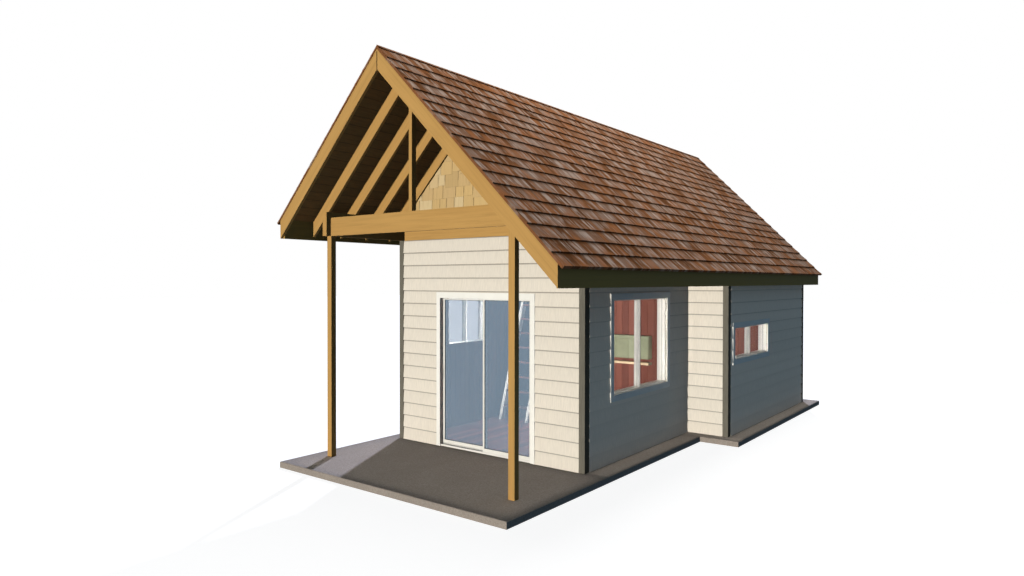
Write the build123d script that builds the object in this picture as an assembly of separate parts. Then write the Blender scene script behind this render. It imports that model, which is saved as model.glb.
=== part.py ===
from build123d import *
import os

os.makedirs("parts", exist_ok=True)

# Concrete slab, all lengths in millimetres
slab_thickness = 75
slab_ledge_left = 215
slab_ledge_right = 295
slab_ledge_wing = 241
slab_ledge_step = 220
slab_ledge_rear = 268
slab_ledge_porch = 36
slab_edge = 6

# Timber walls and the plank floor inside them
wall_thickness = 140
wall_half_width = 1555
wing_jog = 621
wing_front = 2955
wing_length = 3877
floor_thickness = 20
floor_margin = 6

# Corner boards and frieze
corner_front_leg = 70
corner_side_leg = 92
corner_thickness = 12
frieze_thickness = 22

# Roof, which rises from the porch beams at its pitch
beam_clearance = 732
pitch_share = 1.0
rafter_plumb = 200
rafter_thickness = 38
rafter_spacing = 441
porch_rafter_count = 4
rooms_before_wing = 6
rooms_after_wing = 8
rafter_start_gap = 169
rafter_end_gap = 209
eave_overhang_left = 248
eave_overhang_right = 224
rake_overhang_front = 471
rake_overhang_rear = 213
deck_plumb = 25
shingle_plumb = 28
shingle_eave_lap = 48
shingle_rake_lap = 16

# Porch frame
beam_depth = 235
header_depth = 229
header_inset = 103
header_width = 77
header_nose = 31
king_width = 50
king_depth = 69
post_width = 82
post_depth = 74
post_offset = 34

# Sliding door
door_offset = 5
door_half_width = 784
door_height = 2054
door_casing_width = 65
door_head_casing = 80
casing_thickness = 16
door_frame_depth = 120
door_frame_thickness = 14
door_sill_height = 25
door_rail_height = 6
door_rail_width = 8
panel_thickness = 22
panel_stile = 28
panel_bottom_rail = 46
panel_top_rail = 16
meeting_stile_left = 12
meeting_stile_width = 27
fixed_panel_front = 6
sliding_panel_front = 46
running_gap = 6
roller_gap = 0.3
roller_radius = 12
roller_width = 10
roller_inset = 120
pull_width = 14
pull_height = 150
pull_depth = 7
pull_centre_height = 1000
glass_thickness = 6

# Windows, as start and end along the wall, sill and head above the slab top
front_window = (681, 2223, 840, 2040)
wing_window = (261, 1783, 1114, 1580)
left_window = (860, 1740, 1310, 2040)
window_casing_width = 80
window_frame_thickness = 12
window_frame_depth = 124
window_frame_set_back = 16
window_mullion = 12
mullion_depth = 90
mullion_set_back = 10
mullion_share = 0.508
window_glass_share = 0.3

# Partition in line with the wing, with a plain doorway and a wall cabinet
partition_clearance = 145
inner_door_gap = 116
inner_door_width = 750
inner_door_height = 2000
cabinet_right_gap = 445
cabinet_width = 670
cabinet_depth = 125
cabinet_low = 1060
cabinet_height = 360
cabinet_edge = 4
shelf_low = 968
shelf_thickness = 36

# Ladder that leans on the partition
ladder_reach = 1075
ladder_wall_gap = 172
ladder_width = 577
stringer_thickness = 50
stringer_depth = 95
ladder_tread_count = 12
ladder_tread_thickness = 30
ladder_tread_depth = 88

# Levels and planes that follow from the sizes above
slab_top = slab_thickness
floor_top = slab_top + floor_thickness
inner_half = wall_half_width - wall_thickness
wing_right = wall_half_width + wing_jog
wing_inner = wing_right - wall_thickness
wing_back = wing_front + wall_thickness
wall_rear = wing_front + wing_length
rear_inner = wall_rear - wall_thickness
eave_left = wall_half_width + eave_overhang_left
eave_right = wing_right + eave_overhang_right
truss_front = rafter_spacing - rafter_thickness - porch_rafter_count * rafter_spacing
roof_front = rake_overhang_front - truss_front
roof_rear = wall_rear + rake_overhang_rear
header_inner = wall_half_width - header_inset
header_outer = header_inner + header_width
header_front = header_nose - truss_front
collar_front = -truss_front - rafter_thickness
post_centre = header_inner + post_offset
post_back = post_depth - collar_front
king_back = king_depth - collar_front
door_left = door_offset - door_half_width
door_right = door_offset + door_half_width
door_head = slab_top + door_height
jamb_left = door_left + door_frame_thickness
jamb_right = door_right - door_frame_thickness
head_under = door_head - door_frame_thickness
door_top = head_under + door_head_casing
beam_base = door_top + beam_clearance
beam_top = beam_base + beam_depth
ridge = beam_base + header_depth + rafter_plumb + header_outer * pitch_share


def under_deck(reach):
    return ridge - abs(reach) * pitch_share


def under_rafter(reach):
    return under_deck(reach) - rafter_plumb


partition_top = under_rafter(inner_half) - partition_clearance


def block(x0, x1, y0, y1, z0, z1):
    return Pos(x0, y0, z0) * Box(x1 - x0, y1 - y0, z1 - z0, align=(Align.MIN, Align.MIN, Align.MIN))


def swept(points, direction, length):
    outline = make_face(Polyline(*points, close=True))
    return extrude(outline, amount=length, dir=direction)


def along_y(section, y0, y1):
    return swept([(x, y0, z) for x, z in section], (0, 1, 0), y1 - y0)


def along_x(section, x0, x1):
    return swept([(x0, y, z) for y, z in section], (1, 0, 0), x1 - x0)


def along_z(plan, z0, z1):
    return swept([(x, y, z0) for x, y in plan], (0, 0, 1), z1 - z0)


def save(name, shapes):
    solids = shapes if isinstance(shapes, list) else [shapes]
    whole = solids[0] if len(solids) == 1 else Compound(children=solids)
    export_step(whole, "parts/" + name + ".step")


def slope_band(reach, side, low, high):
    return [
        (0, ridge + low),
        (side * reach, under_deck(reach) + low),
        (side * reach, under_deck(reach) + high),
        (0, ridge + high),
    ]


# Slab with a small step where the rear wing is wider
slab_left = wall_half_width + slab_ledge_left
slab_right_front = wall_half_width + slab_ledge_right
slab_right_rear = wing_right + slab_ledge_wing
slab_front = roof_front + slab_ledge_porch
slab_step = wing_front - slab_ledge_step
slab_rear = wall_rear + slab_ledge_rear
slab_plan = [
    (-slab_left, -slab_front),
    (slab_right_front, -slab_front),
    (slab_right_front, slab_step),
    (slab_right_rear, slab_step),
    (slab_right_rear, slab_rear),
    (-slab_left, slab_rear),
]
slab = along_z(slab_plan, 0, slab_top)
slab = chamfer(slab.edges().group_by(Axis.Z)[-1], slab_edge)
save("concrete_slab", slab)

# Plank floor inside the walls
floor_left = -inner_half + floor_margin
floor_front = wall_thickness + floor_margin
floor_rear = rear_inner - floor_margin
floor_step = wing_back + floor_margin
floor_plan = [
    (floor_left, floor_front),
    (inner_half - floor_margin, floor_front),
    (inner_half - floor_margin, floor_step),
    (wing_inner - floor_margin, floor_step),
    (wing_inner - floor_margin, floor_rear),
    (floor_left, floor_rear),
]
save("plank_floor", along_z(floor_plan, slab_top, floor_top))

# Rafters, one pair at each station
porch_stations = [-rafter_thickness - k * rafter_spacing for k in range(porch_rafter_count)]
room_spacing = (wing_front - wall_thickness - rafter_start_gap) / rooms_before_wing
wing_spacing = (wing_length - wall_thickness - rafter_end_gap) / rooms_after_wing
room_stations = [wing_front - (k + 1) * room_spacing for k in range(rooms_before_wing)]
wing_stations = [wing_front + k * wing_spacing for k in range(rooms_after_wing + 1)]
stations = porch_stations + room_stations + wing_stations
left_reach = eave_left - rafter_thickness
right_reach = eave_right - rafter_thickness
left_section = slope_band(left_reach, -1, -rafter_plumb, 0)
right_section = slope_band(right_reach, 1, -rafter_plumb, 0)
left_rafters = [along_y(left_section, y, y + rafter_thickness) for y in stations]
right_rafters = [along_y(right_section, y, y + rafter_thickness) for y in stations]
save("left_rafters", left_rafters)
save("right_rafters", right_rafters)


# Windows, each a cut through its wall, a casing outside, a frame and two panes
def window_parts(size, wall_start, face, side):
    start, end, low, high = size
    y0 = wall_start + start
    y1 = wall_start + end
    z0 = slab_top + low
    z1 = slab_top + high
    wide = window_casing_width
    inward = face - side * wall_thickness
    hole = block(min(face, inward), max(face, inward), y0, y1, z0, z1)
    proud = face + side * casing_thickness
    outer = block(min(face, proud), max(face, proud), y0 - wide, y1 + wide, z0 - wide, z1 + wide)
    inner = block(min(face, proud), max(face, proud), y0, y1, z0, z1)
    front = face - side * window_frame_set_back
    back = front - side * window_frame_depth
    thick = window_frame_thickness
    middle = y0 + (y1 - y0) * mullion_share
    mull0 = middle - window_mullion / 2
    mull1 = middle + window_mullion / 2
    near = min(front, back)
    far = max(front, back)
    mull_front = front - side * mullion_set_back
    mull_back = mull_front - side * mullion_depth
    frame = block(near, far, y0, y1, z0, z1)
    frame = frame - block(near, far, y0 + thick, y1 - thick, z0 + thick, z1 - thick)
    mull_near = min(mull_front, mull_back)
    mull_far = max(mull_front, mull_back)
    upright = block(mull_near, mull_far, mull0, mull1, z0 + thick, z1 - thick)
    pane = front + (back - front) * window_glass_share
    pane0 = pane - glass_thickness / 2
    pane1 = pane + glass_thickness / 2
    panes = [
        block(pane0, pane1, y0 + thick, mull0, z0 + thick, z1 - thick),
        block(pane0, pane1, mull1, y1 - thick, z0 + thick, z1 - thick),
    ]
    return hole, outer - inner, frame + upright, panes


front_hole, front_casing, front_frame, front_panes = window_parts(front_window, 0, wall_half_width, 1)
wing_hole, wing_casing, wing_frame, wing_panes = window_parts(wing_window, wing_front, wing_right, 1)
left_hole, left_casing, left_frame, left_panes = window_parts(left_window, 0, -wall_half_width, -1)
save("window_casings", [front_casing, wing_casing, left_casing])
save("window_frames", [front_frame, wing_frame, left_frame])
save("window_glass", front_panes + wing_panes + left_panes)


# Side walls rise to the deck and are let in around the rafters
def side_wall(inner, outer, y0, y1):
    section = [
        (inner, slab_top),
        (outer, slab_top),
        (outer, under_deck(outer)),
        (inner, under_deck(inner)),
    ]
    return along_y(section, y0, y1)


def let_in(wall, rafters, y0, y1):
    for station, rafter in zip(stations, rafters):
        if y0 < station < y1:
            wall = wall - rafter
    return wall


left_wall = side_wall(-inner_half, -wall_half_width, wall_thickness, rear_inner) - left_hole
left_wall = let_in(left_wall, left_rafters, wall_thickness, rear_inner)
save("left_wall", left_wall)
right_wall = side_wall(inner_half, wall_half_width, wall_thickness, wing_front) - front_hole
right_wall = let_in(right_wall, right_rafters, wall_thickness, wing_front)
save("right_front_wall", right_wall)
wing_wall = side_wall(wing_inner, wing_right, wing_back, rear_inner) - wing_hole
wing_wall = let_in(wing_wall, right_rafters, wing_back, rear_inner)
save("wing_side_wall", wing_wall)

# The wing's front wall stops under the rafter that stands on it
wing_section = [
    (inner_half, slab_top),
    (wing_right, slab_top),
    (wing_right, under_rafter(wing_right)),
    (inner_half, under_rafter(inner_half)),
]
save("wing_front_wall", along_y(wing_section, wing_front, wing_back))

# Gable walls, the front one split beside and over the doorway
rear_section = [
    (-wall_half_width, slab_top),
    (wing_right, slab_top),
    (wing_right, under_deck(wing_right)),
    (0, ridge),
    (-wall_half_width, under_deck(wall_half_width)),
]
save("rear_wall", along_y(rear_section, rear_inner, wall_rear))
gable_section = [
    (-wall_half_width, door_head),
    (wall_half_width, door_head),
    (wall_half_width, under_deck(wall_half_width)),
    (0, ridge),
    (-wall_half_width, under_deck(wall_half_width)),
]
save("front_gable_wall", along_y(gable_section, 0, wall_thickness))
save("front_wall_left", block(-wall_half_width, door_left, 0, wall_thickness, slab_top, door_head))
save("front_wall_right", block(door_right, wall_half_width, 0, wall_thickness, slab_top, door_head))


# Porch posts, headers, collar beam, king post and frieze
posts = [
    block(x - post_width / 2, x + post_width / 2, -collar_front, post_back, slab_top, beam_base)
    for x in (-post_centre, post_centre)
]
save("porch_posts", posts)


def header(side):
    inner = side * header_inner
    outer = side * header_outer
    section = [
        (inner, beam_base),
        (outer, beam_base),
        (outer, under_rafter(outer)),
        (inner, under_rafter(inner)),
    ]
    return along_y(section, -header_front, 0)


left_header = header(-1)
right_header = header(1)
save("porch_headers", [left_header, right_header])
collar_back = -collar_front + rafter_thickness
save("collar_beam", block(-header_inner, header_inner, -collar_front, collar_back, beam_base, beam_top))
king_half = king_width / 2
king_section = [
    (-king_half, beam_top),
    (king_half, beam_top),
    (king_half, under_deck(king_half)),
    (0, ridge),
    (-king_half, under_deck(king_half)),
]
save("king_post", along_y(king_section, -collar_front, king_back))
save("frieze_board", block(-header_inner, header_inner, -frieze_thickness, 0, beam_base, beam_top))

# Corner boards, one angle at each outer corner
def corner_board(x, y, side_x, side_y, top):
    reach_x = x + side_x * corner_thickness
    reach_y = y + side_y * corner_thickness
    plan = [
        (reach_x, reach_y),
        (x - side_x * corner_front_leg, reach_y),
        (x - side_x * corner_front_leg, y),
        (x, y),
        (x, y - side_y * corner_side_leg),
        (reach_x, y - side_y * corner_side_leg),
    ]
    return along_z(plan, slab_top, top)


main_top = under_rafter(wall_half_width + corner_thickness)
wing_top = under_rafter(wing_right + corner_thickness)
corners = [
    corner_board(-wall_half_width, 0, -1, -1, main_top) - left_header,
    corner_board(wall_half_width, 0, 1, -1, main_top) - right_header,
    corner_board(wing_right, wing_front, 1, -1, wing_top),
    corner_board(wing_right, wall_rear, 1, 1, wing_top),
    corner_board(-wall_half_width, wall_rear, -1, 1, main_top),
]
save("corner_boards", corners)

# Rake boards close the gable ends, fascias close the rafter tails
rake_front = -roof_front + rafter_thickness
rake_rear = roof_rear - rafter_thickness
for name, reach, side in (("left", eave_left, -1), ("right", eave_right, 1)):
    rake = slope_band(reach, side, -rafter_plumb, 0)
    front_rake = along_y(rake, -roof_front, rake_front)
    rear_rake = along_y(rake, rake_rear, roof_rear)
    save(name + "_rake_boards", [front_rake, rear_rake])
    deck = slope_band(reach, side, 0, deck_plumb)
    save(name + "_roof_deck", along_y(deck, -roof_front, roof_rear))
    cover = slope_band(reach + shingle_eave_lap, side, deck_plumb, deck_plumb + shingle_plumb)
    save(name + "_shingles", along_y(cover, -roof_front - shingle_rake_lap, roof_rear + shingle_rake_lap))


def fascia(reach, side):
    inner = reach - rafter_thickness
    section = [
        (side * inner, under_rafter(reach)),
        (side * reach, under_rafter(reach)),
        (side * reach, under_deck(reach)),
        (side * inner, under_deck(inner)),
    ]
    return along_y(section, rake_front, rake_rear)


save("fascia_boards", [fascia(eave_left, -1), fascia(eave_right, 1)])

# Door casing and the frame with its sill rail
casing_left = jamb_left - door_casing_width
casing_right = jamb_right + door_casing_width
door_casing = block(casing_left, casing_right, -casing_thickness, 0, slab_top, door_top)
door_casing = door_casing - block(jamb_left, jamb_right, -casing_thickness, 0, slab_top, head_under)
save("door_casing", door_casing)
sill_top = slab_top + door_sill_height
door_frame = block(door_left, door_right, 0, door_frame_depth, slab_top, door_head)
clear_way = block(jamb_left, jamb_right, 0, door_frame_depth, sill_top, head_under)
door_frame = door_frame - clear_way
rail_centre = sliding_panel_front + panel_thickness / 2
rail_near = rail_centre - door_rail_width / 2
rail_far = rail_centre + door_rail_width / 2
rail_top = sill_top + door_rail_height
door_frame = door_frame + block(jamb_left, jamb_right, rail_near, rail_far, sill_top, rail_top)
save("door_frame", door_frame)


# A glazed panel is a ring of stiles and rails around one pane
def glazed_panel(x0, x1, left_stile, right_stile, front, z0, z1):
    back = front + panel_thickness
    low = z0 + panel_bottom_rail
    high = z1 - panel_top_rail
    ring = block(x0, x1, front, back, z0, z1)
    ring = ring - block(x0 + left_stile, x1 - right_stile, front, back, low, high)
    near = (front + back - glass_thickness) / 2
    pane = block(x0 + left_stile, x1 - right_stile, near, near + glass_thickness, low, high)
    return ring, pane


fixed_left = -meeting_stile_left
fixed_panel, fixed_pane = glazed_panel(
    fixed_left, jamb_right, meeting_stile_width, panel_stile, fixed_panel_front, sill_top, head_under
)
save("fixed_panel", fixed_panel)
save("fixed_glass", fixed_pane)

# The sliding panel stands on two rollers over the sill rail
slide_left = jamb_left + running_gap
slide_right = fixed_left + meeting_stile_width
slide_low = rail_top + running_gap
slide_high = head_under - running_gap
sliding_panel, sliding_pane = glazed_panel(
    slide_left, slide_right, panel_stile, meeting_stile_width, sliding_panel_front, slide_low, slide_high
)
roller_height = rail_top + roller_gap + roller_radius
for x in (slide_left + roller_inset, slide_right - roller_inset):
    axle = Plane(origin=(x, rail_centre, roller_height), x_dir=(1, 0, 0), z_dir=(0, 1, 0))
    sliding_panel = sliding_panel + axle * Cylinder(roller_radius, roller_width)
pull_left = slide_left + (panel_stile - pull_width) / 2
pull_right = pull_left + pull_width
pull_low = slab_top + pull_centre_height - pull_height / 2
pull_high = pull_low + pull_height
slide_back = sliding_panel_front + panel_thickness
for near in (sliding_panel_front, slide_back - pull_depth):
    recess = block(pull_left, pull_right, near, near + pull_depth, pull_low, pull_high)
    sliding_panel = sliding_panel - recess
save("sliding_panel", sliding_panel)
save("sliding_glass", sliding_pane)

# Partition with its doorway, and the cabinet and shelf on its front face
inner_door_left = -inner_half + ladder_wall_gap + ladder_width + inner_door_gap
inner_door_right = inner_door_left + inner_door_width
inner_door_head = slab_top + inner_door_height
partition = block(-inner_half, inner_half, wing_front, wing_back, floor_top, partition_top)
doorway = block(inner_door_left, inner_door_right, wing_front, wing_back, floor_top, inner_door_head)
save("partition_wall", partition - doorway)
cabinet_right = inner_half - cabinet_right_gap
cabinet_left = cabinet_right - cabinet_width
cabinet_front = wing_front - cabinet_depth
cabinet_base = slab_top + cabinet_low
cabinet_top = cabinet_base + cabinet_height
cabinet = block(cabinet_left, cabinet_right, cabinet_front, wing_front, cabinet_base, cabinet_top)
cabinet = chamfer(cabinet.edges().group_by(Axis.Y)[0], cabinet_edge)
save("wall_cabinet", cabinet)
shelf_base = slab_top + shelf_low
shelf_top = shelf_base + shelf_thickness
save("cabinet_shelf", block(cabinet_left, cabinet_right, cabinet_front, wing_front, shelf_base, shelf_top))

# Ladder with housed treads, its head resting on the partition
ladder_foot = wing_front - ladder_reach
ladder_height = partition_top - floor_top
ladder_run = ladder_reach - stringer_depth
stringer_section = [
    (ladder_foot, floor_top),
    (ladder_foot + stringer_depth, floor_top),
    (wing_front, partition_top),
    (wing_front - stringer_depth, partition_top),
]
stringer_left = -inner_half + ladder_wall_gap
tread_left = stringer_left + stringer_thickness
stringer_end = stringer_left + ladder_width
tread_right = stringer_end - stringer_thickness
stringers = [
    along_x(stringer_section, stringer_left, tread_left),
    along_x(stringer_section, tread_right, stringer_end),
]
save("ladder_stringers", stringers)
treads = []
for step in range(ladder_tread_count):
    climb_share = (step + 1) / (ladder_tread_count + 1)
    tread_front = ladder_foot + ladder_run * climb_share
    tread_back = tread_front + ladder_tread_depth
    tread_top = floor_top + ladder_height * climb_share
    tread_low = tread_top - ladder_tread_thickness
    treads.append(block(tread_left, tread_right, tread_front, tread_back, tread_low, tread_top))
save("ladder_treads", treads)
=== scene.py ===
"""Dresses the boathouse: siding, shingles, boards, planks, glazing seals, finishes and the stage."""

import math

import bmesh
import bpy
import numpy
from bpy.props import FloatProperty, FloatVectorProperty, PointerProperty
from mathutils import Matrix, Vector


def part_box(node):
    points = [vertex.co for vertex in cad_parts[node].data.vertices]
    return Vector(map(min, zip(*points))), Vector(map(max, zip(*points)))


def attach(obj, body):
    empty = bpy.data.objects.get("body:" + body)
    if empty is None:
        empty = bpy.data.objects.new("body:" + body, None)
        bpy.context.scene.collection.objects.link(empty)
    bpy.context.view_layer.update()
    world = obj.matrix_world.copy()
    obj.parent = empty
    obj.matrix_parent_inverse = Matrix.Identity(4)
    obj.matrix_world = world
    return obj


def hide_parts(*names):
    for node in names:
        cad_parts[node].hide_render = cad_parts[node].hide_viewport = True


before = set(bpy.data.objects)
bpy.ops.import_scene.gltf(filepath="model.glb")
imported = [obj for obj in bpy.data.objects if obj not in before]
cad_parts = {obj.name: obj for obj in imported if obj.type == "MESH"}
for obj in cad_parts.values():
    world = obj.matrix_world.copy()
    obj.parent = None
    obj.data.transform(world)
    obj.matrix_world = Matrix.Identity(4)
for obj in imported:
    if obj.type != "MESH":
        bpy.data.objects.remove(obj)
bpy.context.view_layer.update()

bl_info = {
    "name": "Boathouse Dressing",
    "version": (1, 0, 0),
    "blender": (4, 5, 0),
    "location": "View3D > Sidebar > Boathouse",
    "description": "Siding, shingles, boards, glazing and finishes of a small gabled boathouse",
    "category": "Object",
}

# Levels and faces that the solids give
SLAB_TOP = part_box("concrete_slab")[1][2]
FLOOR_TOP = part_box("plank_floor")[1][2]
DECK_LOW, DECK_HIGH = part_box("right_roof_deck")
SHINGLE_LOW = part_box("left_shingles")[0]
SHINGLE_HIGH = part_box("right_shingles")[1]
FRIEZE_LOW, FRIEZE_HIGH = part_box("frieze_board")
DOOR_LOW, DOOR_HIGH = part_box("door_casing")
PARTITION_LOW, PARTITION_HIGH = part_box("partition_wall")
LEFT_FACE, LEFT_INNER = (corner[0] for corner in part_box("left_wall"))
RIGHT_INNER, RIGHT_FACE = (corner[0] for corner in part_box("right_front_wall"))
WING_INNER, WING_FACE = (corner[0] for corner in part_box("wing_side_wall"))
WING_FRONT, WING_FRONT_INNER = (corner[1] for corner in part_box("wing_front_wall"))
REAR_INNER, REAR_FACE = (corner[1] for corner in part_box("rear_wall"))
FRONT_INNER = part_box("front_gable_wall")[1][1]
DOOR_OPENING = (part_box("door_frame")[0][0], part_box("door_frame")[1][0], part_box("door_frame")[1][2])
RIDGE = DECK_HIGH[2]

# Plumb depths under the deck's upper face, and the widths of the corner boards
DECK_PLUMB = 0.025
RAFTER_PLUMB = 0.200
UNDER_RAFTERS = DECK_PLUMB + RAFTER_PLUMB
CORNER_FRONT = 0.070
CORNER_SIDE = 0.092

# The openings: the wall's facing and face, then the clear opening along the wall and in height
WINDOWS = {
    "front_room": ("+x", RIGHT_FACE, 0.681, 2.223, 0.915, 2.115),
    "wing": ("+x", WING_FACE, 3.216, 4.738, 1.189, 1.655),
    "left": ("-x", LEFT_FACE, 0.860, 1.740, 1.385, 2.115),
}
CASING = 0.080
MULLION_SHARE = 0.508
INNER_DOORWAY = ((-0.550, 2.8, 0.0), (0.200, 3.3, 2.075))
FACINGS = {"-x": (0, -1), "+x": (0, 1), "-y": (1, -1), "+y": (1, 1)}

# How close a corner has to lie to a level or a face to be picked with it
NEAR = 0.001

# How far the tools that cut openings reach past a wall's outer layer and through its whole depth
LAYER_REACH = 0.1
WALL_REACH = 0.3

# Room that is left under the roof
EAVE_GAP = 0.003
ROOF_GAP = 0.004
GABLE_GAP = 0.002
PLATE_GAP = 0.010

# Ways that the lights face
DOWN, TO_REAR, TO_FRONT, TO_LEFT = (0, 0, -1), (0, 1, 0), (0, -1, 0), (-1, 0, 0)
WARM = (1.0, 0.965, 0.92)


def length_prop(name, text, value):
    """Declares a length in metres."""
    return FloatProperty(name=name, description=text, default=value, unit="LENGTH")


def colour_prop(name, text, value):
    """Declares a colour."""
    return FloatVectorProperty(name=name, description=text, default=value, subtype="COLOR")


def angle_prop(name, text, degrees):
    """Declares an angle."""
    return FloatProperty(name=name, description=text, default=math.radians(degrees), subtype="ANGLE")


def light_prop(name, text, value, subtype="NONE"):
    return FloatProperty(name=name, description=text, default=value, subtype=subtype)


class BoathouseSizes(bpy.types.PropertyGroup):
    """Sizes of the boards, shingles and seals."""

    siding_exposure: length_prop("Siding exposure", "Height that shows of one siding course", 0.1785)
    siding_butt: length_prop("Siding butt", "How far a siding board's lower edge stands out", 0.0150)
    siding_tip: length_prop("Siding tip", "Thickness of a siding board at its upper edge", 0.0015)
    shingle_exposure: length_prop("Shingle exposure", "Length that shows of one roof shingle", 0.192)
    shingle_width: length_prop("Shingle width", "Mean width of a roof shingle", 0.118)
    shingle_length: length_prop("Shingle length", "Whole length of a roof shingle", 0.400)
    shingle_butt: length_prop("Shingle butt", "Height of a roof shingle's lower edge over the deck", 0.034)
    gable_exposure: length_prop("Gable exposure", "Height that shows of one gable shingle", 0.170)
    gable_width: length_prop("Gable shingle width", "Mean width of a gable shingle", 0.175)
    lining_width: length_prop("Lining width", "Width of one upright lining board", 0.112)
    lining_thickness: length_prop("Lining thickness", "Thickness of the lining boards", 0.009)
    plank_width: length_prop("Plank width", "Width of one floor plank", 0.108)
    seal_width: length_prop("Seal width", "Width of the rubber seal round a pane", 0.006)


class BoathouseColours(bpy.types.PropertyGroup):
    """Colours of the finishes."""

    siding: colour_prop("Siding", "Cream paint of the lap siding", (0.86, 0.785, 0.665))
    trim: colour_prop("Trim", "White paint of the casings, frames and panels", (0.93, 0.91, 0.84))
    # Painted shade: share of the white left on the window casings' right-hand faces.
    window_casing_shade: colour_prop(
        "Window trim", "Share of the white that stays on the casings' right-hand faces", (0.64, 0.71, 0.80))
    corner: colour_prop("Corner boards", "Taupe paint of the corner boards", (0.172, 0.159, 0.126))
    timber: colour_prop("Timber", "Oiled posts, beams and rafters", (0.545, 0.312, 0.098))
    deck: colour_prop("Roof deck", "Boards under the shingles", (0.340, 0.185, 0.066))
    shingle_brown: colour_prop("Shingle brown", "Fresh brown of the roof shingles", (0.160, 0.067, 0.028))
    shingle_grey: colour_prop("Shingle grey", "Weathered grey of the roof shingles", (0.285, 0.216, 0.168))
    gable: colour_prop("Gable shingles", "Pale straw of the gable shingles", (0.590, 0.405, 0.182))
    lining: colour_prop("Lining", "Red-brown stain of the lining boards", (0.170, 0.053, 0.036))
    floor: colour_prop("Floor planks", "Red-brown floor planks", (0.34, 0.085, 0.065))
    concrete: colour_prop("Concrete", "Grey-brown concrete of the slab", (0.378, 0.322, 0.273))
    cabinet: colour_prop("Cabinet", "Sage paint of the wall cabinet", (0.225, 0.245, 0.155))
    door_glass: colour_prop("Door glass", "Blue tint of the door glass", (0.425, 0.585, 0.775))
    window_glass: colour_prop("Window glass", "Grey tint of the window glass", (0.30, 0.36, 0.38))
    tread: colour_prop("Treads", "Dark stain of the ladder's treads", (0.10, 0.034, 0.026))
    shelf: colour_prop("Shelf", "Pale wood of the shelf", (0.62, 0.50, 0.33))


class BoathouseStage(bpy.types.PropertyGroup):
    """The camera and the strength of the lights."""

    eye: FloatVectorProperty(
        name="Camera place", description="Where the camera stands",
        subtype="XYZ", unit="LENGTH", default=(5.9127, -7.0741, 2.3518))
    yaw: angle_prop("Camera yaw", "Turn of the camera to the left of the long axis", 37.5479)
    pitch: angle_prop("Camera pitch", "Rise of the camera's line of sight", -0.5774)
    roll: angle_prop("Camera roll", "Turn of the camera about its line of sight", 0.0729)
    lens: FloatProperty(name="Lens", description="Focal length on a 36 mm wide sensor", default=24.666)
    front_light: light_prop("Front light", "Strength of the light straight on to the gable", 2.80)
    back_light: light_prop("Back light", "Strength of the light from behind on the left", 3.1)
    top_light: light_prop("Top light", "Power of the light over the roof", 900.0, "POWER")
    room_light: light_prop("Room light", "Power that the room lights are multiples of", 4.3, "POWER")
    eave_light: light_prop("Eave light", "Power over each square metre of lit slab", 0.92, "POWER")
    jamb_light: light_prop("Jamb light", "Power over each square metre in the reveals", 3.0, "POWER")
    corner_light: light_prop("Corner light", "Power of the fill beside the wing", 0.08, "POWER")


# Modelling


def deselect():
    """Leaves edit mode and takes every object out of the selection."""
    if bpy.context.mode != "OBJECT":
        bpy.ops.object.mode_set(mode="OBJECT")
    bpy.ops.object.select_all(action="DESELECT")


def focus(piece):
    """Makes one piece the only selected and the active object."""
    deselect()
    piece.select_set(True)
    bpy.context.view_layer.objects.active = piece


def settle(piece):
    """Puts a piece's place, turn and scale into its mesh."""
    focus(piece)
    bpy.ops.object.transform_apply(location=True, rotation=True, scale=True)


def block(name, low, high):
    """Adds a box between two corners as the start of a piece."""
    deselect()
    middle = [(a + b) / 2 for a, b in zip(low, high)]
    span = [b - a for a, b in zip(low, high)]
    bpy.ops.mesh.primitive_cube_add(size=1.0, location=middle, scale=span)
    piece = bpy.context.object
    piece.name = name
    piece.data.name = name
    settle(piece)
    return piece


def pick(piece, kind, test):
    """Opens a piece for editing with only the verts, edges or faces that pass a test selected."""
    focus(piece)
    bpy.ops.object.mode_set(mode="EDIT")
    bpy.ops.mesh.select_mode(type=kind)
    bpy.ops.mesh.select_all(action="DESELECT")
    shape = bmesh.from_edit_mesh(piece.data)
    for item in {"VERT": shape.verts, "EDGE": shape.edges, "FACE": shape.faces}[kind]:
        item.select_set(bool(test(item)))
    shape.select_flush_mode()
    bmesh.update_edit_mesh(piece.data)


def close():
    """Ends editing."""
    bpy.ops.object.mode_set(mode="OBJECT")


def slide(piece, test, step):
    """Moves the corners that pass a test."""
    pick(piece, "VERT", lambda v: test(v.co))
    bpy.ops.transform.translate(value=step)
    close()


def soften(piece, test, width):
    """Bevels the edges that pass a test."""
    pick(piece, "EDGE", test)
    bpy.ops.mesh.bevel(offset=width, segments=1, affect="EDGES")
    close()


def modify(piece, kind, **settings):
    """Changes a piece's mesh with a modifier."""
    focus(piece)
    change = piece.modifiers.new(kind.lower(), kind)
    for key, value in settings.items():
        setattr(change, key, value)
    bpy.ops.object.modifier_apply(modifier=change.name)


def repeat(piece, count, step):
    """Copies a piece's mesh in a row."""
    modify(
        piece, "ARRAY", count=count, use_relative_offset=False, use_constant_offset=True,
        constant_offset_displace=step)


def cut_out(piece, low, high):
    """Takes a box-shaped opening out of a piece."""
    tool = block("opening_tool", low, high)
    modify(piece, "BOOLEAN", operation="DIFFERENCE", solver="EXACT", object=tool)
    shape = tool.data
    bpy.data.objects.remove(tool)
    bpy.data.meshes.remove(shape)


def slice_off(piece, point, normal):
    """Cuts away what lies past a plane and closes the cut."""
    focus(piece)
    bpy.ops.object.mode_set(mode="EDIT")
    bpy.ops.mesh.select_all(action="SELECT")
    bpy.ops.mesh.bisect(plane_co=point, plane_no=normal, use_fill=True, clear_outer=True)
    close()


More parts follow.
